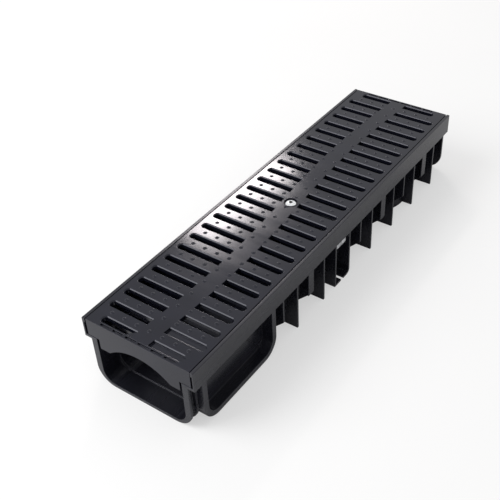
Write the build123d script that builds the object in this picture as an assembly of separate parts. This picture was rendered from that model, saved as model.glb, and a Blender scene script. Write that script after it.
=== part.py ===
from build123d import *
from math import pi, sin
import os

# A light drainage channel for paving: a moulded plastic trough with a slotted grate on top.
# The grate drops into the frame of the trough, and one screw holds it down to a steel cross-bar.
# Millimetres, +Z up, +Y along the channel. The origin is the middle of the footprint, on the ground.
# The side branches are near the -Y end.

# Overall size, up to the top face of the grate
length = 500.0
width = 130.0
height = 78.0

# Trough
clear_width = 97.0
wall = 3.0
foot_height = 2.0
trough_radius = 18.0

# Frame that holds the grate
skirt_height = 23.0
skirt_wall = 2.0
bead_width = 3.5
bead_height = 5.0
ledge_thickness = 3.0

# Socket inside the near end, and the rims round both ends
socket_width = 100.0
socket_depth = 22.0
socket_radius = 14.0
near_rim_band = 7.0
far_rim_band = 12.0
rim_thickness = 3.0
second_ring_place = 8.5
rim_radius = 20.0

# Ribs across the outside
rib_thickness = 2.5
rib_pitch = 50.0
first_far_rib = 62.5
first_near_rib = 37.5
middle_rib_place = 14.0
middle_foot_gap = 5.0
middle_foot_radius = 6.0
half_rib_foot = 27.0
half_rib_slant = 19.0
flange_width = 10.0
flange_thickness = 2.0

# Side branches, closed by a wall that is broken out when a branch is used
branch_width = 114.0
branch_band = 6.5
branch_floor = 6.0
branch_place = 67.0
branch_recess = 12.5
branch_radius = 20.0
cut_bead_width = 1.5
cut_bead_rise = 1.2
cut_bead_place = 45.5
cut_bead_lean = 34.5

# Bottom outlet, a ring under the trough round a floor that is broken out when it is used
outlet_diameter = 107.0
outlet_wall = 3.0
outlet_top = 27.0
outlet_place = 162.5

# Grate
side_gap = 0.8
end_gap = 0.5
plate_thickness = 5.0
grate_wall = 2.5
bar_rib_thickness = 2.5
bar_rib_depth = 11.0
end_web_thickness = 3.0
end_web_drop = 31.5
end_web_gap = 1.0
arch_span = 72.0
arch_rise = 13.5

# Slots in two columns, either side of a wavy spine
row_pitch = 20.0
slot_width = 7.0
slot_chamfer = 1.0
slot_reach = 55.5
end_slot_reach = 47.5
slot_corner = 3.0
spine_width = 19.4
spine_swing = 6.9

# Raised studs on the bars, and pockets behind the top edge of each end
stud_pitch = 15.0
studs_per_bar = 7
stud_width = 4.4
stud_top = 2.0
stud_rise = 0.5
pocket_depth = 2.0
pocket_width = 2.2
pocket_gap = 2.5
end_lip = 1.5

# Shallow floor that closes the last two rows at one near corner
deck_drop = 2.5
deck_thickness = 2.0
deck_reach = 43.0
deck_corner = -23.5
deck_slant = 43.0

# Screw, M6 with a pan head and a hexagon socket, and its washer
screw_diameter = 6.0
screw_length = 30.0
thread_pitch = 1.0
head_diameter = 12.0
head_height = 4.4
head_edge = 3.2
socket_flats = 4.0
socket_drop = 2.4
washer_bore = 6.4
washer_diameter = 12.0
washer_thickness = 1.6
recess_depth = 5.6
recess_gap = 1.0
collar_width = 1.2
collar_rise = 0.5
boss_diameter = 17.0
boss_depth = 18.0
screw_clearance = 0.3
thread_clearance = 0.05

# Steel cross-bar under the grate
bar_length = 125.0
bar_width = 20.0
bar_height = 8.0
bar_drop = 24.5
bar_edge = 0.8
bar_clearance = 0.3

# Derived places
half_length = length / 2
half_width = width / 2
ledge_bottom = height - skirt_height
ledge_top = ledge_bottom + ledge_thickness
floor_top = foot_height + wall
half_clear = clear_width / 2
half_socket = socket_width / 2
grate_half = half_width - bead_width - side_gap
grate_end = half_length - end_gap
bar_top = height - bar_drop
seat_top = height - recess_depth
washer_top = seat_top + washer_thickness
rows_each_way = int((half_length - row_pitch / 2) / row_pitch)
branch_centre = branch_place - half_length


def u_section(half, bottom, top, radius):
    """Filled outline of a trough with rounded lower corners, drawn across the channel."""
    outline = Pos(0, (bottom + top) / 2) * Rectangle(2 * half, top - bottom)
    return fillet(outline.vertices().group_by(Axis.Y)[0], radius)


def block(x0, x1, y0, y1, z0, z1):
    """Box between two corners."""
    centre = Pos((x0 + x1) / 2, (y0 + y1) / 2, (z0 + z1) / 2)
    return centre * Box(abs(x1 - x0), abs(y1 - y0), abs(z1 - z0))


def along_channel(section, start, end):
    """Solid of a section drawn in X and Z, from one place along Y to another."""
    return extrude(Plane.XZ.offset(-end) * section, end - start)


def across_channel(section, start, end):
    """Solid of a section drawn in Y and Z, from one place along X to another."""
    return extrude(Plane.YZ.offset(start) * section, end - start)


def slab(x0, x1, z0, z1):
    """Rectangle drawn in X and Z."""
    return Pos((x0 + x1) / 2, (z0 + z1) / 2) * Rectangle(x1 - x0, z1 - z0)


def both_sides(piece):
    """A piece and its mirror image on the other side of the channel."""
    return piece + mirror(piece, Plane.YZ)


# Channel body

def frame_outline():
    """Outside of the trough and of the frame above it."""
    trough = u_section(half_clear + wall, foot_height, ledge_top, trough_radius + wall)
    return trough + slab(-half_width, half_width, ledge_bottom, height)


def inside_outline():
    """Space inside the trough and the frame."""
    trough = u_section(half_clear, floor_top, height, trough_radius)
    pocket_half = half_width - skirt_wall
    pocket = slab(-pocket_half, pocket_half, ledge_top, height - bead_height)
    mouth_half = half_width - bead_width
    return trough + pocket + slab(-mouth_half, mouth_half, ledge_top, height)


def socket_sleeve():
    """Thicker wall round the socket at the near end."""
    section = u_section(half_socket + wall, 0, ledge_top, socket_radius + wall)
    return along_channel(section, -half_length, socket_depth + wall - half_length)


def end_rims():
    """Rims round both ends, and the second ring behind the near one."""
    near = u_section(half_socket + near_rim_band, 0, ledge_top, rim_radius)
    far = u_section(half_clear + far_rim_band, 0, ledge_top, rim_radius)
    ring_start = second_ring_place - half_length
    rims = along_channel(near, -half_length, rim_thickness - half_length)
    rims += along_channel(near, ring_start, ring_start + rim_thickness)
    return rims + along_channel(far, half_length - rim_thickness, half_length)


def rib_places(first, limit):
    """Places of the full ribs from one rib outwards, up to a limit."""
    count = int((limit - first) / rib_pitch) + 1
    return [first + rib_pitch * i for i in range(count)]


def far_ribs():
    """Full ribs between the middle and the far end."""
    return rib_places(first_far_rib, half_length - rib_pitch / 2)


def near_ribs():
    """Full ribs between the middle and the branches."""
    return rib_places(first_near_rib, -branch_centre - branch_width / 2 - rib_pitch / 2)


def full_ribs():
    """Ribs that reach the ground and stand as wide as the frame."""
    plate = slab(-half_width, half_width, 0, ledge_bottom + ledge_thickness / 2)
    places = far_ribs() + [-y for y in near_ribs()]
    ribs = [along_channel(plate, y - rib_thickness / 2, y + rib_thickness / 2) for y in places]
    return Part() + ribs


def middle_ribs():
    """Pair of ribs either side of the cross-bar, each with a foot that points at the other one."""
    outer = middle_rib_place + rib_thickness / 2
    top = ledge_bottom + ledge_thickness / 2
    upright = slab(outer - rib_thickness, outer, 0, top)
    foot = slab(middle_foot_gap / 2, outer, 0, rib_thickness)
    square = upright + foot
    heel = square.vertices().sort_by_distance((outer, 0, 0))[0]
    hollow = square.vertices().sort_by_distance((outer - rib_thickness, rib_thickness, 0))[0]
    rounded = fillet(heel, middle_foot_radius)
    rounded = fillet(rounded.vertices().sort_by_distance(hollow.center())[0], middle_foot_radius - rib_thickness)
    far = across_channel(rounded, -half_width, half_width)
    near = across_channel(square, -half_width, half_width)
    return far + mirror(near, Plane.XZ)


def outlet_ring():
    """Ring of the bottom outlet, drawn as a filled cylinder."""
    ring = Cylinder(outlet_diameter / 2, outlet_top, align=(Align.CENTER, Align.CENTER, Align.MIN))
    return Pos(0, outlet_place, 0) * ring


def outlet_space():
    """Space inside the ring of the bottom outlet, below the floor of the trough."""
    below = u_section(half_clear + wall, foot_height, ledge_top, trough_radius + wall)
    radius = outlet_diameter / 2 - outlet_wall
    space = Cylinder(radius, outlet_top, align=(Align.CENTER, Align.CENTER, Align.MIN))
    return Pos(0, outlet_place, 0) * space - along_channel(below, -half_length, half_length)


def half_ribs():
    """Short ribs in the middle of each bay, every other one with a flange at its edge."""
    root = half_clear - trough_radius / 2
    corners = [
        (root, ledge_bottom),
        (half_width, ledge_bottom),
        (half_width, half_rib_foot),
        (half_width - half_rib_slant, half_rib_foot - half_rib_slant),
    ]
    web = make_face(Polyline(*corners, close=True))
    flange = slab(half_width - flange_thickness, half_width, half_rib_foot, ledge_bottom)
    far_places = [y - rib_pitch / 2 for y in far_ribs()]
    near_places = [-y - rib_pitch / 2 for y in near_ribs()]
    ribs = []
    for y in far_places + near_places:
        ribs.append(along_channel(web, y - rib_thickness / 2, y + rib_thickness / 2))
    for y in far_places[1::2] + near_places[0::2]:
        ribs.append(along_channel(flange, y - flange_width / 2, y + flange_width / 2))
    return both_sides(Part() + ribs)


def branch_collar():
    """Collar of a side branch, drawn as a filled block."""
    outline = u_section(branch_width / 2, foot_height, ledge_bottom + ledge_thickness / 2, branch_radius)
    return across_channel(Pos(branch_centre, 0) * outline, half_clear - trough_radius / 2, half_width)


def branch_space():
    """Recess of a side branch, in front of the wall that closes it."""
    inner_half = branch_width / 2 - branch_band
    bottom = foot_height + branch_floor
    outline = u_section(inner_half, bottom, ledge_bottom, branch_radius - branch_band)
    face = half_width - branch_recess
    return across_channel(Pos(branch_centre, 0) * outline, face, half_width)


def cut_beads():
    """Low bead across the floor of a branch, then up the wall that closes it at a slant."""
    inner_end = half_width - branch_recess
    bottom = foot_height + branch_floor
    start = branch_centre + cut_bead_place
    stop = start - cut_bead_lean
    half = cut_bead_width / 2
    corners = [
        (start - half, bottom),
        (start + half, bottom),
        (stop + half, ledge_bottom),
        (stop - half, ledge_bottom),
    ]
    slant = across_channel(make_face(Polyline(*corners, close=True)), inner_end, inner_end + cut_bead_rise)
    return slant + block(inner_end, half_width, start - half, start + half, bottom, bottom + cut_bead_rise)


def bar_window():
    """Opening through both walls for the cross-bar."""
    half = bar_width / 2 + bar_clearance
    return block(-half_width, half_width, -half, half, bar_top - bar_height - bar_clearance, bar_top)


def channel_body():
    """The whole moulded trough."""
    body = along_channel(frame_outline(), -half_length, half_length)
    body += socket_sleeve() + end_rims() + full_ribs() + middle_ribs() + half_ribs()
    body += both_sides(branch_collar()) + outlet_ring()
    body -= both_sides(branch_space()) + outlet_space()
    body += both_sides(cut_beads())
    body -= along_channel(inside_outline(), -half_length, half_length)
    socket = u_section(half_socket, floor_top - (half_socket - half_clear), ledge_top, socket_radius)
    body -= along_channel(socket, -half_length, socket_depth - half_length)
    return body - bar_window()


# Grate

def spine_offset(y):
    """Place of the middle of the spine across the channel."""
    return -spine_swing * sin(2 * pi * y / length)


def spine_outline():
    """Wavy band between the two columns of slots."""
    steps = 20
    places = [half_length - length * i / steps for i in range(steps + 1)]
    right = Spline([(spine_offset(y) + spine_width / 2, y) for y in places])
    left = Spline([(spine_offset(y) - spine_width / 2, y) for y in places])
    ends = Line(left @ 0, right @ 0) + Line(left @ 1, right @ 1)
    return make_face(right + left + ends)


def row_places():
    """Places of the rows of slots, from the one at the screw out to both ends."""
    return [i * row_pitch for i in range(-rows_each_way, rows_each_way + 1)]


def slot_cutter(reach):
    """Cutter for one row of slots across the full width, with a sloped upper edge."""
    throat = RectangleRounded(2 * reach, slot_width, slot_corner)
    mouth_size = (2 * (reach + slot_chamfer), slot_width + 2 * slot_chamfer)
    mouth = RectangleRounded(*mouth_size, slot_corner + slot_chamfer)
    straight = extrude(Pos(0, 0, height - plate_thickness) * throat, plate_thickness)
    sloped = loft([Pos(0, 0, height - slot_chamfer) * throat, Pos(0, 0, height) * mouth])
    return straight + sloped


def slotted_plate():
    """Top plate of the grate with its slots."""
    plate = block(-grate_half, grate_half, -grate_end, grate_end, height - plate_thickness, height)
    spine = extrude(Pos(0, 0, height - plate_thickness) * spine_outline(), plate_thickness)
    places = row_places()
    reaches = [end_slot_reach] + [slot_reach] * (len(places) - 2) + [end_slot_reach]
    cutters = {reach: slot_cutter(reach) for reach in set(reaches)}
    return plate - [Pos(0, y, 0) * cutters[reach] - spine for y, reach in zip(places, reaches)]


def bar_places():
    """Middle of each bar between two rows."""
    return [y + row_pitch / 2 for y in row_places()[:-1]]


def stiffeners():
    """Side walls, a rib under each bar and one rib under the spine."""
    top = height - plate_thickness
    low = top - bar_rib_depth
    ribs = [block(-bar_rib_thickness / 2, bar_rib_thickness / 2, -grate_end, grate_end, low, top)]
    for y in bar_places():
        half = bar_rib_thickness / 2
        ribs.append(block(-grate_half, grate_half, y - half, y + half, low, top))
    side = block(grate_half - grate_wall, grate_half, -grate_end, grate_end, ledge_top, top)
    return both_sides(side) + ribs


def end_web():
    """Wall at one end of the grate, with an arch over the water."""
    lower_half = half_clear - end_web_gap
    shoulder = height - end_web_drop
    outline = slab(-grate_half, grate_half, ledge_top, height)
    outline += slab(-lower_half, lower_half, shoulder, height)
    crown = (0, shoulder + arch_rise)
    arch = ThreePointArc((-arch_span / 2, shoulder), crown, (arch_span / 2, shoulder))
    outline -= make_face(arch + Line(arch @ 1, arch @ 0))
    return along_channel(outline, -grate_end, end_web_thickness - grate_end)


def end_pockets():
    """Row of small pockets behind the top edge of one end."""
    outer = end_lip - grate_end
    pockets = []
    for i in range(studs_per_bar - 1):
        start = (i - (studs_per_bar - 1) / 2) * stud_pitch + pocket_gap / 2
        stop = start + stud_pitch - pocket_gap
        pockets.append(block(start, stop, outer, outer + pocket_width, height - pocket_depth, height))
    return Part() + pockets


def studs():
    """Raised studs on every bar."""
    stud = Cone(stud_width / 2, stud_top / 2, stud_rise, align=(Align.CENTER, Align.CENTER, Align.MIN))
    columns = [(i - (studs_per_bar - 1) / 2) * stud_pitch for i in range(studs_per_bar)]
    return [Pos(x, y, height) * stud for y in bar_places() for x in columns]


def corner_deck():
    """Thin floor that closes the slots at one near corner."""
    top = height - deck_drop
    near = -grate_end + end_web_thickness / 2
    far = near + deck_reach
    side = grate_half - grate_wall / 2
    corners = [(deck_corner, near), (side, near), (side, far), (deck_corner + deck_slant, far)]
    outline = make_face(Polyline(*corners, close=True))
    return extrude(Pos(0, 0, top - deck_thickness) * outline, deck_thickness)


def screw_boss():
    """Boss round the screw, with a low collar on the top face."""
    boss = Cylinder(boss_diameter / 2, boss_depth, align=(Align.CENTER, Align.CENTER, Align.MAX))
    recess = washer_diameter / 2 + recess_gap
    collar = Cylinder(recess + collar_width, collar_rise, align=(Align.CENTER, Align.CENTER, Align.MIN))
    return Pos(0, 0, height) * boss + Pos(0, 0, height) * collar


def screw_hole():
    """Recess for the head and the hole below it."""
    up = (Align.CENTER, Align.CENTER, Align.MIN)
    recess = Cylinder(washer_diameter / 2 + recess_gap, 2 * recess_depth, align=up)
    hole = Cylinder(screw_diameter / 2 + screw_clearance, height, align=up)
    return Pos(0, 0, seat_top) * recess + hole


def grate():
    """The whole moulded grate."""
    ends = [end_web(), mirror(end_web(), Plane.XZ)]
    body = slotted_plate() + ends + [stiffeners(), corner_deck(), screw_boss()]
    body -= [end_pockets(), mirror(end_pockets(), Plane.XZ), screw_hole()]
    return body + studs()


# Steel parts

def locking_bar():
    """Flat bar through both walls, tapped in the middle for the screw."""
    half = bar_length / 2
    bar = block(-half, half, -bar_width / 2, bar_width / 2, bar_top - bar_height, bar_top)
    ends = bar.edges().group_by(Axis.X)
    bar = chamfer(ends[0] + ends[-1], bar_edge)
    return bar - Cylinder(screw_diameter / 2 + thread_clearance, 2 * height)


def lock_screw():
    """Pan head screw that reaches through the cross-bar."""
    radius = head_diameter / 2
    dome = ThreePointArc((-radius, head_edge), (0, head_height), (radius, head_edge))
    outline = make_face(dome + Line(dome @ 1, dome @ 0)) + slab(-radius, radius, 0, head_edge)
    head = revolve(Plane.XZ * (outline & slab(0, radius, 0, head_height)), Axis.Z)
    shank = Cylinder(screw_diameter / 2, screw_length, align=(Align.CENTER, Align.CENTER, Align.MAX))
    tip = shank.edges().group_by(Axis.Z)[0]
    shank = chamfer(tip, thread_pitch / 2)
    socket = extrude(RegularPolygon(socket_flats / 2, 6, major_radius=False), 2 * socket_drop)
    screw = head + shank - Pos(0, 0, head_height - socket_drop) * socket
    return Pos(0, 0, washer_top) * screw


def screw_washer():
    """Flat washer under the head."""
    ring = Circle(washer_diameter / 2) - Circle(washer_bore / 2)
    return Pos(0, 0, seat_top) * extrude(ring, washer_thickness)


def main():
    """Writes one file for each piece."""
    os.makedirs("parts", exist_ok=True)
    pieces = {
        "channel_body": channel_body(),
        "grate": grate(),
        "locking_bar": locking_bar(),
        "lock_screw": lock_screw(),
        "screw_washer": screw_washer(),
    }
    for name, piece in pieces.items():
        export_step(piece, f"parts/{name}.step")
        size = piece.bounding_box().size
        print(f"{name}: {size.X:.1f} x {size.Y:.1f} x {size.Z:.1f} mm, {piece.volume / 1000:.1f} cm3")


main()
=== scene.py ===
"""Looks of a plastic drainage channel with a slotted grate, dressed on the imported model."""

import math

import bmesh
import bpy
from bpy.props import FloatProperty, FloatVectorProperty, PointerProperty
from mathutils import Matrix, Vector
from mathutils.bvhtree import BVHTree


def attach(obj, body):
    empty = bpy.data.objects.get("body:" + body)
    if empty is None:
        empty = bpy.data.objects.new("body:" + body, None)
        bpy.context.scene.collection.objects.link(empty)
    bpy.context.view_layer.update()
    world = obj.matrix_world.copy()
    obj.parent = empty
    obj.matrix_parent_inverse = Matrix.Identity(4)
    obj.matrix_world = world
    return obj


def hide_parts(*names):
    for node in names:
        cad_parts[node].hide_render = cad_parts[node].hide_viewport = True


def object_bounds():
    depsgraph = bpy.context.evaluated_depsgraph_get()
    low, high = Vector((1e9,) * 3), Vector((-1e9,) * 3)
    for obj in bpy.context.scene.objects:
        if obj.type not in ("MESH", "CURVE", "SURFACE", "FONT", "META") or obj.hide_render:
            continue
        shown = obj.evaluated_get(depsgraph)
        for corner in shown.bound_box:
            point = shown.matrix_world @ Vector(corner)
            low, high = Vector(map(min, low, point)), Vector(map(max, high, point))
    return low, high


bl_info = {
    "name": "Drainage channel",
    "version": (1, 0, 0),
    "blender": (4, 5, 0),
    "location": "3D View > Sidebar > Channel",
    "description": "Dresses a drainage channel, its grate and its screw, and lights it",
    "category": "Object",
}

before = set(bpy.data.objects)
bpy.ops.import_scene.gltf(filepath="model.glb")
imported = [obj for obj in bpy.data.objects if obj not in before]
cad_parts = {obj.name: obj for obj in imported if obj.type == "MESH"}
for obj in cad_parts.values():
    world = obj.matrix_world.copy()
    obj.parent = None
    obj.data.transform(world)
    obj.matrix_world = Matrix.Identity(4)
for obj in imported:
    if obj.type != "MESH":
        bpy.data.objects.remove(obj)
cad_low, cad_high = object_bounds()

MM = 0.001

# Meshes
MERGE_DISTANCE = 0.002 * MM
FLAT_ANGLE = math.radians(0.05)
EDGE_ANGLE = math.radians(32)
SMOOTH_ANGLE = math.radians(50)
SCREW_SMOOTH_ANGLE = math.radians(28)
STRAY_SHARE = 0.6
FLAT_FACE_WEIGHT = 100

# Studs on the grate, and the collar round its screw
STUD_RISE = 0.5 * MM
STUD_ANGLES = (math.radians(20), math.radians(27))
STUD_MARGIN = 0.03 * MM
LEVEL_NORMAL = 0.99
COLLAR_RADIUS = 9 * MM

# Screw
HEAD_STEPS = 64
DOME_STEPS = 12
THREAD_STEPS = 24
NECK_LENGTH = 3 * MM
CORE_CHAMFER = 0.6 * MM
THREAD_START = 0.4 * MM
RIDGE_SINK = 0.1 * MM
RIDGE_FOOT = (0.06, 0.94)
RIDGE_CREST = (0.43, 0.57)
SOCKET_MARGIN = 0.1 * MM
SOCKET_RIM = 0.4 * MM
# Share of the plating's colour left on the socket walls, as painted shade
SOCKET_PAINTED_SHADE = 0.12

# Materials, with the noise in waves a metre and the bumps in metres
PLAIN_SCALE = (1, 1, 1)
TROUGH_FLOW = (1, 0.08, 1)
GRATE_FLOW = (0.1, 1, 1)
NOISE_RANGE = (0.3, 0.7)
PLASTIC_SPREAD = (0.85, 1.2)
PLASTIC_TINT = (0.9, 0.905, 1, 1)
PLASTIC_IOR = 1.5
CLOUD_WAVES, CLOUD_HEIGHT = 38, 0.003 * MM
STREAK_WAVES, STREAK_HEIGHT = 60, 0.0015 * MM
GRAIN_WAVES, GRAIN_HEIGHT = 2600, 0.0008 * MM
CRYSTAL_WAVES, CRYSTAL_SPREAD = 240, (0.72, 1.12)
PATCH_WAVES, PATCH_HEIGHT, PATCH_ROUGHNESS = 90, 0.05 * MM, (0.32, 0.52)
RING_WAVES, RING_HEIGHT, RING_DISTORTION = 900, 0.006 * MM, 0.6
FILM_WAVES, FILM_SPREAD, FILM_ROUGHNESS = 420, (0.86, 1.1), (0.16, 0.3)
FLOOR_WAVES, FLOOR_WHITES = 3, (0.92, 0.94)


# Settings

class ChannelPlastic(bpy.types.PropertyGroup):
    """Colour and surface of the two mouldings."""

    trough_colour: FloatVectorProperty(
        name="Trough colour", description="Colour of the moulded trough", subtype="COLOR",
        size=4, default=(0.008, 0.0083, 0.0118, 1), min=0, max=1)
    grate_colour: FloatVectorProperty(
        name="Grate colour", description="Colour of the moulded grate", subtype="COLOR",
        size=4, default=(0.0065, 0.007, 0.0125, 1), min=0, max=1)
    trough_roughness: FloatProperty(
        name="Trough roughness", description="Roughness of the trough", subtype="FACTOR",
        default=0.26, min=0, max=1)
    grate_roughness: FloatProperty(
        name="Grate roughness", description="Roughness of the grate", subtype="FACTOR",
        default=0.115, min=0, max=1)
    stud_roughness: FloatProperty(
        name="Stud roughness", description="Roughness of the studs on the grate", subtype="FACTOR",
        default=0.34, min=0, max=1)
    top_roughness: FloatProperty(
        name="Stud top roughness", description="Roughness of the flat tops of the studs",
        subtype="FACTOR", default=0.6, min=0, max=1)
    trough_shine: FloatProperty(
        name="Trough shine", description="Strength of the reflections in the trough",
        subtype="FACTOR", default=0.38, min=0, max=1)
    grate_shine: FloatProperty(
        name="Grate shine", description="Strength of the reflections in the grate",
        subtype="FACTOR", default=0.32, min=0, max=1)
    top_shine: FloatProperty(
        name="Stud top shine", description="Strength of the reflections in the tops of the studs",
        subtype="FACTOR", default=0.2, min=0, max=1)
    trough_edge: FloatProperty(
        name="Trough edge radius", description="Radius on the edges of the trough",
        unit="LENGTH", default=0.35 * MM, min=0)
    grate_edge: FloatProperty(
        name="Grate edge radius", description="Radius on the edges of the grate",
        unit="LENGTH", default=0.22 * MM, min=0)


class ChannelSteel(bpy.types.PropertyGroup):
    """Colour, edges and thread of the steel pieces."""

    zinc_colour: FloatVectorProperty(
        name="Galvanised colour", description="Colour of the cross-bar", subtype="COLOR",
        size=4, default=(0.62, 0.63, 0.65, 1), min=0, max=1)
    plated_colour: FloatVectorProperty(
        name="Plated colour", description="Colour of the screw and its washer", subtype="COLOR",
        size=4, default=(0.76, 0.77, 0.78, 1), min=0, max=1)
    edge: FloatProperty(
        name="Steel edge radius", description="Radius on the edges of the steel pieces",
        unit="LENGTH", default=0.25 * MM, min=0)
    screw_foot: FloatProperty(
        name="Screw foot", description="Height of the screw's lower end",
        unit="LENGTH", default=44 * MM)
    head_seat: FloatProperty(
        name="Head seat", description="Height of the underside of the head",
        unit="LENGTH", default=74 * MM)
    head_edge: FloatProperty(
        name="Head edge", description="Height at which the head starts to round",
        unit="LENGTH", default=77.2 * MM)
    head_top: FloatProperty(
        name="Head top", description="Height of the middle of the dome before it is cut",
        unit="LENGTH", default=78.4 * MM)
    head_radius: FloatProperty(
        name="Head radius", description="Radius of the head", unit="LENGTH", default=6 * MM)
    socket_flats: FloatProperty(
        name="Socket width", description="Distance between two flats of the socket",
        unit="LENGTH", default=4 * MM)
    socket_drop: FloatProperty(
        name="Socket depth", description="Depth of the socket under the middle of the dome",
        unit="LENGTH", default=2.4 * MM)
    thread_radius: FloatProperty(
        name="Thread radius", description="Radius over the thread", unit="LENGTH",
        default=3 * MM)
    thread_pitch: FloatProperty(
        name="Thread pitch", description="Rise of the screw's thread in one turn",
        unit="LENGTH", default=1.0 * MM, min=0.1 * MM)
    thread_depth: FloatProperty(
        name="Thread depth", description="Depth of the screw's thread", unit="LENGTH",
        default=0.55 * MM, min=0)


class ChannelStage(bpy.types.PropertyGroup):
    """Camera, lamps and floor."""

    lens: FloatProperty(
        name="Lens", description="Focal length on a 36 mm wide picture, in millimetres",
        default=60.99)
    camera_place: FloatVectorProperty(
        name="Camera place", description="Place of the camera", subtype="TRANSLATION",
        size=3, default=(0.40568, -0.60534, 0.60592))
    camera_turn: FloatVectorProperty(
        name="Camera turn", description="Turn of the camera about X, Y and Z", subtype="EULER",
        size=3, default=(math.radians(50.92), math.radians(2.615), math.radians(35.33)))
    studio_level: FloatProperty(
        name="Studio level", description="Light that comes evenly from all round",
        default=0.62, min=0)
    key_level: FloatProperty(
        name="Key lamp level", description="Brightness of the large lamp by the near end",
        default=5.5, min=0)
    key_place: FloatVectorProperty(
        name="Key lamp place", description="Place of the large lamp", subtype="TRANSLATION",
        size=3, default=(-0.72, -0.87, 1.03))
    key_side: FloatVectorProperty(
        name="Key lamp side", description="Direction of the long side of the large lamp",
        subtype="DIRECTION", size=3, default=(0.3, 0.76, 0.46))
    key_size: FloatVectorProperty(
        name="Key lamp size", description="Length and width of the large lamp", unit="LENGTH",
        size=2, default=(1.15, 0.75), min=0)
    strip_level: FloatProperty(
        name="Strip lamp level", description="Brightness of the strip lamp",
        default=36, min=0)
    strip_colour: FloatVectorProperty(
        name="Strip lamp colour", description="Colour of the strip lamp", subtype="COLOR",
        size=3, default=(1, 0.93, 0.9), min=0, max=1)
    strip_glint: FloatVectorProperty(
        name="Strip lamp glint", description="Where the strip lamp shows in the grate",
        unit="LENGTH", size=2, default=(-0.052, -0.0195))
    strip_size: FloatVectorProperty(
        name="Strip lamp glint size", description="Length and width of the glint in the grate",
        unit="LENGTH", size=2, default=(0.158, 0.046), min=0)
    strip_reach: FloatProperty(
        name="Strip lamp reach", default=3, min=1,
        description="Distance from the mirrored camera to the lamp, over that to the glint")
    floor_paleness: FloatProperty(
        name="Floor paleness", description="Share of plain white in the floor that the camera sees",
        subtype="FACTOR", default=0.5, min=0, max=1)
    floor_size: FloatProperty(
        name="Floor size", description="Width of the floor", unit="LENGTH", default=12, min=1)


# Help with pieces

def deselect():
    """Nothing is selected, and nothing is active."""
    bpy.ops.object.select_all(action="DESELECT")
    bpy.context.view_layer.objects.active = None


def make_active(piece):
    """Only this piece is selected."""
    deselect()
    piece.select_set(True)
    bpy.context.view_layer.objects.active = piece


def copy_of(node, name):
    """A merged copy of a CAD node, free of the frame and split into plain triangles."""
    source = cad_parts[node]
    piece = source.copy()
    piece.data = source.data.copy()
    for key in list(piece.keys()):
        del piece[key]
    piece.parent = None
    piece.name = name
    piece.data.name = name
    piece.data.materials.clear()
    bpy.context.scene.collection.objects.link(piece)
    make_active(piece)
    bpy.ops.object.mode_set(mode="EDIT")
    bpy.ops.mesh.select_all(action="SELECT")
    bpy.ops.mesh.remove_doubles(threshold=MERGE_DISTANCE)
    bpy.ops.mesh.dissolve_limited(angle_limit=FLAT_ANGLE)
    bpy.ops.mesh.normals_make_consistent(inside=False)
    bpy.ops.mesh.quads_convert_to_tris(quad_method="BEAUTY", ngon_method="BEAUTY")
    bpy.ops.object.mode_set(mode="OBJECT")
    return piece


def round_edges(piece, radius, segments):
    """Rounds the sharp edges, draws in stray points and merges the flat faces again."""
    tree = BVHTree.FromPolygons([vertex.co for vertex in piece.data.vertices],
                                [face.vertices for face in piece.data.polygons])
    make_active(piece)
    bevel = piece.modifiers.new("edges", "BEVEL")
    bevel.width = radius
    bevel.segments = segments
    bevel.limit_method = "ANGLE"
    bevel.angle_limit = EDGE_ANGLE
    bevel.use_clamp_overlap = False
    bevel.loop_slide = False
    bpy.ops.object.modifier_apply(modifier=bevel.name)
    for vertex in piece.data.vertices:
        nearest, _, _, distance = tree.find_nearest(vertex.co)
        if distance > STRAY_SHARE * radius:
            vertex.co = nearest
    bpy.ops.object.mode_set(mode="EDIT")
    bpy.ops.mesh.select_all(action="SELECT")
    bpy.ops.mesh.dissolve_limited(angle_limit=FLAT_ANGLE)
    bpy.ops.object.mode_set(mode="OBJECT")
    bpy.ops.object.shade_smooth_by_angle(angle=SMOOTH_ANGLE)


def flatten_normals(piece):
    """Keeps flat faces flat in the light, so that only the rounded edges change direction."""
    make_active(piece)
    flat = piece.modifiers.new("flat_faces", "WEIGHTED_NORMAL")
    flat.keep_sharp = True
    flat.weight = FLAT_FACE_WEIGHT
    bpy.ops.object.modifier_apply(modifier=flat.name)


def cut(piece, tool):
    """Takes one solid out of another."""
    make_active(piece)
    step = piece.modifiers.new("cut", "BOOLEAN")
    step.operation = "DIFFERENCE"
    step.solver = "EXACT"
    step.object = tool
    bpy.ops.object.modifier_apply(modifier=step.name)
    bpy.data.objects.remove(tool)


def join(pieces, name):
    """Joins pieces into the first one."""
    deselect()
    for piece in pieces:
        piece.select_set(True)
    bpy.context.view_layer.objects.active = pieces[0]
    bpy.ops.object.join()
    pieces[0].name = name
    pieces[0].data.name = name
    return pieces[0]


def finish_piece(piece, body, slot, material, *nodes):
    """Gives a piece its material, its body and the nodes that it stands for."""
    piece.data.materials.clear()
    piece.data.materials.append(material)
    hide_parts(*nodes)
    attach(piece, body)


# Materials

def new_material(name):
    """Empty node material with its shader."""
    material = bpy.data.materials.new(name)
    material.use_nodes = True
    nodes = material.node_tree.nodes
    return material, nodes, material.node_tree.links, nodes["Principled BSDF"]


def object_place(nodes, links, scale):
    """Object coordinates, stretched by a scale along each axis."""
    place = nodes.new("ShaderNodeTexCoord")
    mapping = nodes.new("ShaderNodeMapping")
    mapping.inputs["Scale"].default_value = scale
    links.new(place.outputs["Object"], mapping.inputs["Vector"])
    return mapping.outputs["Vector"]


def noise(nodes, links, place, waves, detail):
    """Noise at so many waves a metre."""
    texture = nodes.new("ShaderNodeTexNoise")
    texture.inputs["Scale"].default_value = waves
    texture.inputs["Detail"].default_value = detail
    links.new(place, texture.inputs["Vector"])
    return texture.outputs["Fac"]


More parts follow.
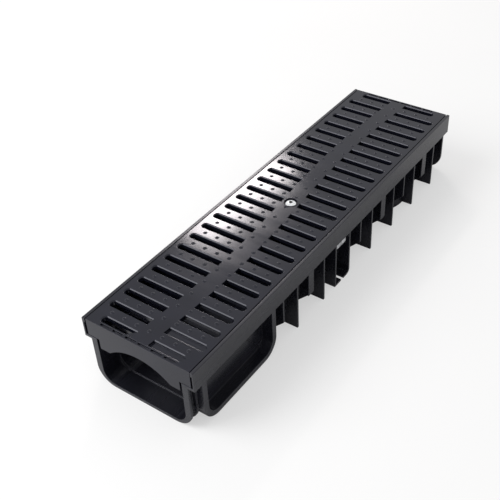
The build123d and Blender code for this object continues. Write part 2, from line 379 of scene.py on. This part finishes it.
def between(nodes, links, value, low, high):
    """A noise spread between two values."""
    spread = nodes.new("ShaderNodeMapRange")
    spread.inputs["From Min"].default_value = NOISE_RANGE[0]
    spread.inputs["From Max"].default_value = NOISE_RANGE[1]
    spread.inputs["To Min"].default_value = low
    spread.inputs["To Max"].default_value = high
    links.new(value, spread.inputs["Value"])
    return spread.outputs["Result"]


def scaled(colour, factor):
    """A colour made darker or lighter."""
    return (colour[0] * factor, colour[1] * factor, colour[2] * factor, 1)


def shades(nodes, links, value, colour, spread):
    """A noise spread between a darker and a lighter shade of a colour."""
    ramp = nodes.new("ShaderNodeValToRGB")
    for element, position, factor in zip(ramp.color_ramp.elements, NOISE_RANGE, spread):
        element.position = position
        element.color = scaled(colour, factor)
    links.new(value, ramp.inputs["Fac"])
    return ramp.outputs["Color"]


def bump(nodes, links, height, distance, below=None):
    """Bump of so many metres, on top of another one."""
    node = nodes.new("ShaderNodeBump")
    node.inputs["Distance"].default_value = distance
    links.new(height, node.inputs["Height"])
    if below is not None:
        links.new(below, node.inputs["Normal"])
    return node.outputs["Normal"]


def moulded_plastic(name, colour, roughness, shine, flow):
    """Black moulded plastic with a fine grain, faint flow marks and uneven gloss."""
    material, nodes, links, shader = new_material(name)
    even = object_place(nodes, links, PLAIN_SCALE)
    along = object_place(nodes, links, flow)
    clouds = noise(nodes, links, even, CLOUD_WAVES, 4)
    streaks = noise(nodes, links, along, STREAK_WAVES, 3)
    grain = noise(nodes, links, even, GRAIN_WAVES, 2)
    links.new(shades(nodes, links, clouds, colour, PLASTIC_SPREAD), shader.inputs["Base Color"])
    dull, bright = PLASTIC_SPREAD
    links.new(between(nodes, links, streaks, roughness * dull, roughness * bright),
              shader.inputs["Roughness"])
    waves = bump(nodes, links, clouds, CLOUD_HEIGHT)
    flow_marks = bump(nodes, links, streaks, STREAK_HEIGHT, waves)
    links.new(bump(nodes, links, grain, GRAIN_HEIGHT, flow_marks), shader.inputs["Normal"])
    shader.inputs["IOR"].default_value = PLASTIC_IOR
    shader.inputs["Specular IOR Level"].default_value = shine
    shader.inputs["Specular Tint"].default_value = PLASTIC_TINT
    return material


def galvanised(name, colour):
    """Hot-dip zinc with its crystals and dull patches."""
    material, nodes, links, shader = new_material(name)
    even = object_place(nodes, links, PLAIN_SCALE)
    crystals = nodes.new("ShaderNodeTexVoronoi")
    crystals.inputs["Scale"].default_value = CRYSTAL_WAVES
    links.new(even, crystals.inputs["Vector"])
    grey = nodes.new("ShaderNodeSeparateColor")
    links.new(crystals.outputs["Color"], grey.inputs["Color"])
    patches = noise(nodes, links, even, PATCH_WAVES, 4)
    links.new(shades(nodes, links, grey.outputs["Red"], colour, CRYSTAL_SPREAD),
              shader.inputs["Base Color"])
    links.new(between(nodes, links, patches, *PATCH_ROUGHNESS), shader.inputs["Roughness"])
    links.new(bump(nodes, links, patches, PATCH_HEIGHT), shader.inputs["Normal"])
    shader.inputs["Metallic"].default_value = 1
    return material


def plated_steel(name, colour):
    """Bright zinc plating over turned steel."""
    material, nodes, links, shader = new_material(name)
    even = object_place(nodes, links, PLAIN_SCALE)
    rings = nodes.new("ShaderNodeTexWave")
    rings.wave_type = "RINGS"
    rings.rings_direction = "Z"
    rings.inputs["Scale"].default_value = RING_WAVES
    rings.inputs["Distortion"].default_value = RING_DISTORTION
    links.new(even, rings.inputs["Vector"])
    film = noise(nodes, links, even, FILM_WAVES, 3)
    links.new(shades(nodes, links, film, colour, FILM_SPREAD), shader.inputs["Base Color"])
    links.new(between(nodes, links, film, *FILM_ROUGHNESS), shader.inputs["Roughness"])
    links.new(bump(nodes, links, rings.outputs["Fac"], RING_HEIGHT), shader.inputs["Normal"])
    shader.inputs["Metallic"].default_value = 1
    return material


# Pieces

class CHANNEL_OT_trough(bpy.types.Operator):
    """Dress the moulded trough"""

    bl_idname = "channel.trough"
    bl_label = "Trough"

    def execute(self, context):
        look = context.scene.channel_plastic
        piece = copy_of("channel_body", "trough")
        round_edges(piece, look.trough_edge, 2)
        flatten_normals(piece)
        material = moulded_plastic("black_trough", look.trough_colour, look.trough_roughness,
                                   look.trough_shine, TROUGH_FLOW)
        finish_piece(piece, "channel", "body_plastic", material, "channel_body")
        return {"FINISHED"}


def crisp_studs(piece):
    """Keeps the foot of each stud crisp, so that the studs look dark where the plate shines."""
    plate_top = cad_high.z - STUD_RISE
    shape = bmesh.new()
    shape.from_mesh(piece.data)
    for edge in shape.edges:
        off_plate = max(abs(vertex.co.z - plate_top) for vertex in edge.verts)
        if off_plate < MERGE_DISTANCE and STUD_ANGLES[0] < edge.calc_face_angle() < STUD_ANGLES[1]:
            edge.smooth = False
    shape.to_mesh(piece.data)
    shape.free()


def dull_studs(piece, look):
    """Gives the sides and the tops of the studs their own duller plastic."""
    for name, roughness, shine in (("dull_studs", look.stud_roughness, look.grate_shine),
                                   ("matt_stud_tops", look.top_roughness, look.top_shine)):
        piece.data.materials.append(moulded_plastic(name, look.grate_colour, roughness, shine,
                                                    PLAIN_SCALE))
    plate_top = cad_high.z - STUD_RISE
    for face in piece.data.polygons:
        on_collar = face.center.xy.length < COLLAR_RADIUS
        if face.center.z > plate_top + STUD_MARGIN and not on_collar:
            face.material_index = 2 if face.normal.z > LEVEL_NORMAL else 1


class CHANNEL_OT_grate(bpy.types.Operator):
    """Dress the slotted grate"""

    bl_idname = "channel.grate"
    bl_label = "Grate"

    def execute(self, context):
        look = context.scene.channel_plastic
        piece = copy_of("grate", "slotted_grate")
        round_edges(piece, look.grate_edge, 2)
        crisp_studs(piece)
        flatten_normals(piece)
        material = moulded_plastic("black_grate", look.grate_colour, look.grate_roughness,
                                   look.grate_shine, GRATE_FLOW)
        finish_piece(piece, "channel", "grate_plastic", material, "grate")
        dull_studs(piece, look)
        return {"FINISHED"}


class CHANNEL_OT_bar(bpy.types.Operator):
    """Dress the steel cross-bar"""

    bl_idname = "channel.bar"
    bl_label = "Cross-bar"

    def execute(self, context):
        look = context.scene.channel_steel
        piece = copy_of("locking_bar", "cross_bar")
        round_edges(piece, look.edge, 3)
        flatten_normals(piece)
        material = galvanised("galvanised", look.zinc_colour)
        finish_piece(piece, "channel", "zinc_steel", material, "locking_bar")
        return {"FINISHED"}


def chain(name, points, closed):
    """Object with points joined in a row, each given as radius and height."""
    mesh = bpy.data.meshes.new(name)
    edges = [(i, i + 1) for i in range(len(points) - 1)]
    if closed:
        edges.append((len(points) - 1, 0))
    mesh.from_pydata([(radius, 0, height) for radius, height in points], edges, [])
    piece = bpy.data.objects.new(name, mesh)
    bpy.context.scene.collection.objects.link(piece)
    return piece


def close_up(piece):
    """Merges double points, fills open rims and turns the faces outwards."""
    make_active(piece)
    bpy.ops.object.mode_set(mode="EDIT")
    bpy.ops.mesh.select_all(action="SELECT")
    bpy.ops.mesh.remove_doubles(threshold=MERGE_DISTANCE)
    bpy.ops.mesh.fill_holes(sides=0)
    bpy.ops.mesh.normals_make_consistent(inside=False)
    bpy.ops.object.mode_set(mode="OBJECT")


def turned(name, points, steps):
    """Solid of revolution about Z from a profile that starts and ends on the axis."""
    piece = chain(name, points, False)
    make_active(piece)
    turn = piece.modifiers.new("turn", "SCREW")
    turn.steps = steps
    turn.render_steps = steps
    turn.use_merge_vertices = True
    turn.merge_threshold = MERGE_DISTANCE
    bpy.ops.object.modifier_apply(modifier=turn.name)
    close_up(piece)
    return piece


def thread_ridge(name, root, crest, pitch, low, high):
    """Ridge of a right-hand thread, a little sunk into its core."""
    foot_low, foot_high = (share * pitch for share in RIDGE_FOOT)
    crest_low, crest_high = (share * pitch for share in RIDGE_CREST)
    sunk = root - RIDGE_SINK
    points = ((sunk, foot_low), (sunk, foot_high), (root, foot_high),
              (crest, crest_high), (crest, crest_low), (root, foot_low))
    piece = chain(name, [(radius, low + height) for radius, height in points], True)
    make_active(piece)
    turn = piece.modifiers.new("helix", "SCREW")
    turn.steps = THREAD_STEPS
    turn.render_steps = THREAD_STEPS
    turn.iterations = int((high - low) / pitch) - 1
    turn.screw_offset = pitch
    bpy.ops.object.modifier_apply(modifier=turn.name)
    close_up(piece)
    return piece


def dome_points(radius, edge, top):
    """Points of a shallow dome, from its edge to its middle."""
    rise = top - edge
    ball = (radius ** 2 + rise ** 2) / (2 * rise)
    arc = math.asin(radius / ball)
    angles = [arc * (1 - i / DOME_STEPS) for i in range(DOME_STEPS + 1)]
    return [(ball * math.sin(angle), top - ball * (1 - math.cos(angle))) for angle in angles]


def painted_socket_shade(piece, look):
    """Paints shade into the socket: its walls get a darkened copy of the plating."""
    shade = scaled(look.plated_colour, SOCKET_PAINTED_SHADE)
    piece.data.materials.append(plated_steel("painted_socket_shade", shade))
    lowest = look.head_top - look.socket_drop + SOCKET_MARGIN
    highest = look.head_top - SOCKET_RIM
    for face in piece.data.polygons:
        in_socket = face.center.xy.length < look.socket_flats / 2 + SOCKET_MARGIN
        if in_socket and lowest < face.center.z < highest:
            face.material_index = 1


class CHANNEL_OT_screw(bpy.types.Operator):
    """Turn the screw's head, cut its socket and wind its thread"""

    bl_idname = "channel.screw"
    bl_label = "Screw"

    def execute(self, context):
        look = context.scene.channel_steel
        low, seat, edge, top = look.screw_foot, look.head_seat, look.head_edge, look.head_top
        head, crest = look.head_radius, look.thread_radius
        root = crest - look.thread_depth
        neck = seat - NECK_LENGTH
        round_off = look.edge / 2
        points = [(0, low), (root - CORE_CHAMFER, low), (root, low + CORE_CHAMFER), (root, neck),
                  (crest, neck + CORE_CHAMFER), (crest, seat), (head - round_off, seat),
                  (head, seat + round_off), (head, edge - round_off)]
        piece = turned("pan_head_screw", points + dome_points(head, edge, top)[1:], HEAD_STEPS)
        bpy.ops.mesh.primitive_cylinder_add(vertices=6, radius=look.socket_flats / math.sqrt(3),
                                            depth=2 * look.socket_drop, location=(0, 0, top),
                                            rotation=(0, 0, math.radians(30)))
        cut(piece, context.object)
        ridge = thread_ridge("thread", root, crest, look.thread_pitch, low + THREAD_START, neck)
        piece = join([piece, ridge], "pan_head_screw")
        bpy.ops.object.shade_smooth_by_angle(angle=SCREW_SMOOTH_ANGLE)
        material = plated_steel("plated_screw", look.plated_colour)
        finish_piece(piece, "screw", "screw_steel", material, "lock_screw")
        painted_socket_shade(piece, look)
        return {"FINISHED"}


class CHANNEL_OT_washer(bpy.types.Operator):
    """Dress the washer under the screw's head"""

    bl_idname = "channel.washer"
    bl_label = "Washer"

    def execute(self, context):
        look = context.scene.channel_steel
        piece = copy_of("screw_washer", "flat_washer")
        round_edges(piece, look.edge / 2, 2)
        flatten_normals(piece)
        material = plated_steel("plated_washer", look.plated_colour)
        finish_piece(piece, "washer", "screw_steel", material, "screw_washer")
        return {"FINISHED"}


# Stage

def pale_floor(paleness):
    """Matt white floor, with its shadow softened where the camera sees it."""
    material, nodes, links, shader = new_material("pale_floor")
    even = object_place(nodes, links, PLAIN_SCALE)
    clouds = noise(nodes, links, even, FLOOR_WAVES, 2)
    links.new(shades(nodes, links, clouds, (1, 1, 1), FLOOR_WHITES), shader.inputs["Base Color"])
    shader.inputs["Roughness"].default_value = 0.9
    shader.inputs["Specular IOR Level"].default_value = 0.1
    white = nodes.new("ShaderNodeEmission")
    white.inputs["Color"].default_value = (1, 1, 1, 1)
    white.inputs["Strength"].default_value = 1
    path = nodes.new("ShaderNodeLightPath")
    share = nodes.new("ShaderNodeMath")
    share.operation = "MULTIPLY"
    share.inputs[1].default_value = paleness
    links.new(path.outputs["Is Camera Ray"], share.inputs[0])
    mix = nodes.new("ShaderNodeMixShader")
    links.new(share.outputs["Value"], mix.inputs["Fac"])
    links.new(shader.outputs["BSDF"], mix.inputs[1])
    links.new(white.outputs["Emission"], mix.inputs[2])
    links.new(mix.outputs["Shader"], nodes["Material Output"].inputs["Surface"])
    return material


def studio_world(level):
    """Even studio light, with a white background for the camera and for reflections."""
    world = bpy.data.worlds.new("studio")
    bpy.context.scene.world = world
    world.use_nodes = True
    nodes, links = world.node_tree.nodes, world.node_tree.links
    background = nodes["Background"]
    background.inputs["Color"].default_value = (1, 1, 1, 1)
    path = nodes.new("ShaderNodeLightPath")
    glossy = nodes.new("ShaderNodeMath")
    glossy.operation = "MAXIMUM"
    links.new(path.outputs["Is Glossy Ray"], glossy.inputs[0])
    links.new(path.outputs["Is Transmission Ray"], glossy.inputs[1])
    seen = nodes.new("ShaderNodeMath")
    seen.operation = "MAXIMUM"
    links.new(path.outputs["Is Camera Ray"], seen.inputs[0])
    links.new(glossy.outputs["Value"], seen.inputs[1])
    strength = nodes.new("ShaderNodeMapRange")
    strength.inputs["To Min"].default_value = level
    strength.inputs["To Max"].default_value = 1
    links.new(seen.outputs["Value"], strength.inputs["Value"])
    links.new(strength.outputs["Result"], background.inputs["Strength"])


def lamp(name, place, target, long_side, size, level, colour=(1, 1, 1)):
    """Rectangular lamp that faces a target and is as bright at any size."""
    length, width = size
    data = bpy.data.lights.new(name, "AREA")
    data.shape = "RECTANGLE"
    data.size = length
    data.size_y = width
    data.color = colour
    data.energy = level * math.pi * length * width
    piece = bpy.data.objects.new(name, data)
    bpy.context.scene.collection.objects.link(piece)
    back = (Vector(place) - Vector(target)).normalized()
    side = (Vector(long_side) - back * Vector(long_side).dot(back)).normalized()
    turn = Matrix((side, back.cross(side), back)).transposed()
    piece.matrix_world = Matrix.Translation(place) @ turn.to_4x4()


def strip_lamp(look):
    """Strip lamp above the grate, placed where the camera sees it reflected in the plate."""
    top = cad_high.z
    eye = Vector(look.camera_place)
    mirrored = Vector((eye.x, eye.y, 2 * top - eye.z))
    glint = Vector((look.strip_glint[0], look.strip_glint[1], top))
    place = mirrored + (glint - mirrored) * look.strip_reach
    size = [side * look.strip_reach for side in look.strip_size]
    lamp("strip_lamp", place, place - Vector((0, 0, 1)), (0, 1, 0), size, look.strip_level,
         look.strip_colour)


class CHANNEL_OT_stage(bpy.types.Operator):
    """Set up the floor, lamps and camera"""

    bl_idname = "channel.stage"
    bl_label = "Stage"

    def execute(self, context):
        look = context.scene.channel_stage
        deselect()
        bpy.ops.mesh.primitive_plane_add(size=look.floor_size, location=(0, 0, cad_low.z))
        floor = context.object
        floor.name = "floor"
        floor.data.transform(Matrix.Translation(floor.location))
        floor.location = (0, 0, 0)
        floor.data.materials.append(pale_floor(look.floor_paleness))

        studio_world(look.studio_level)
        lamp("key_lamp", look.key_place, (0, 0, 0), look.key_side, look.key_size, look.key_level)
        strip_lamp(look)

        data = bpy.data.cameras.new("camera")
        data.lens = look.lens
        camera = bpy.data.objects.new("camera", data)
        context.scene.collection.objects.link(camera)
        camera.location = look.camera_place
        camera.rotation_euler = look.camera_turn
        context.scene.camera = camera
        context.scene.view_settings.view_transform = "Standard"
        return {"FINISHED"}


class CHANNEL_PT_pieces(bpy.types.Panel):
    """Lists the pieces and their settings"""

    bl_idname = "CHANNEL_PT_pieces"
    bl_label = "Drainage channel"
    bl_space_type = "VIEW_3D"
    bl_region_type = "UI"
    bl_category = "Channel"

    def draw(self, context):
        layout = self.layout
        for name in PIECE_OPERATORS:
            layout.operator(name)
        scene = context.scene
        for group in (scene.channel_plastic, scene.channel_steel, scene.channel_stage):
            for key in group.bl_rna.properties.keys():
                if key not in ("name", "rna_type"):
                    layout.prop(group, key)


PIECE_OPERATORS = (
    "channel.trough",
    "channel.grate",
    "channel.bar",
    "channel.screw",
    "channel.washer",
    "channel.stage",
)

CLASSES = (
    ChannelPlastic,
    ChannelSteel,
    ChannelStage,
    CHANNEL_OT_trough,
    CHANNEL_OT_grate,
    CHANNEL_OT_bar,
    CHANNEL_OT_screw,
    CHANNEL_OT_washer,
    CHANNEL_OT_stage,
    CHANNEL_PT_pieces,
)


def register():
    """Adds the classes and the settings to Blender."""
    for item in CLASSES:
        bpy.utils.register_class(item)
    bpy.types.Scene.channel_plastic = PointerProperty(type=ChannelPlastic)
    bpy.types.Scene.channel_steel = PointerProperty(type=ChannelSteel)
    bpy.types.Scene.channel_stage = PointerProperty(type=ChannelStage)


def unregister():
    """Takes the classes and the settings out again."""
    del bpy.types.Scene.channel_plastic
    del bpy.types.Scene.channel_steel
    del bpy.types.Scene.channel_stage
    for item in reversed(CLASSES):
        bpy.utils.unregister_class(item)


def main():
    """Dresses every piece."""
    register()
    for name in PIECE_OPERATORS:
        family, action = name.split(".")
        getattr(getattr(bpy.ops, family), action)()


if __name__ == "__main__":
    main()
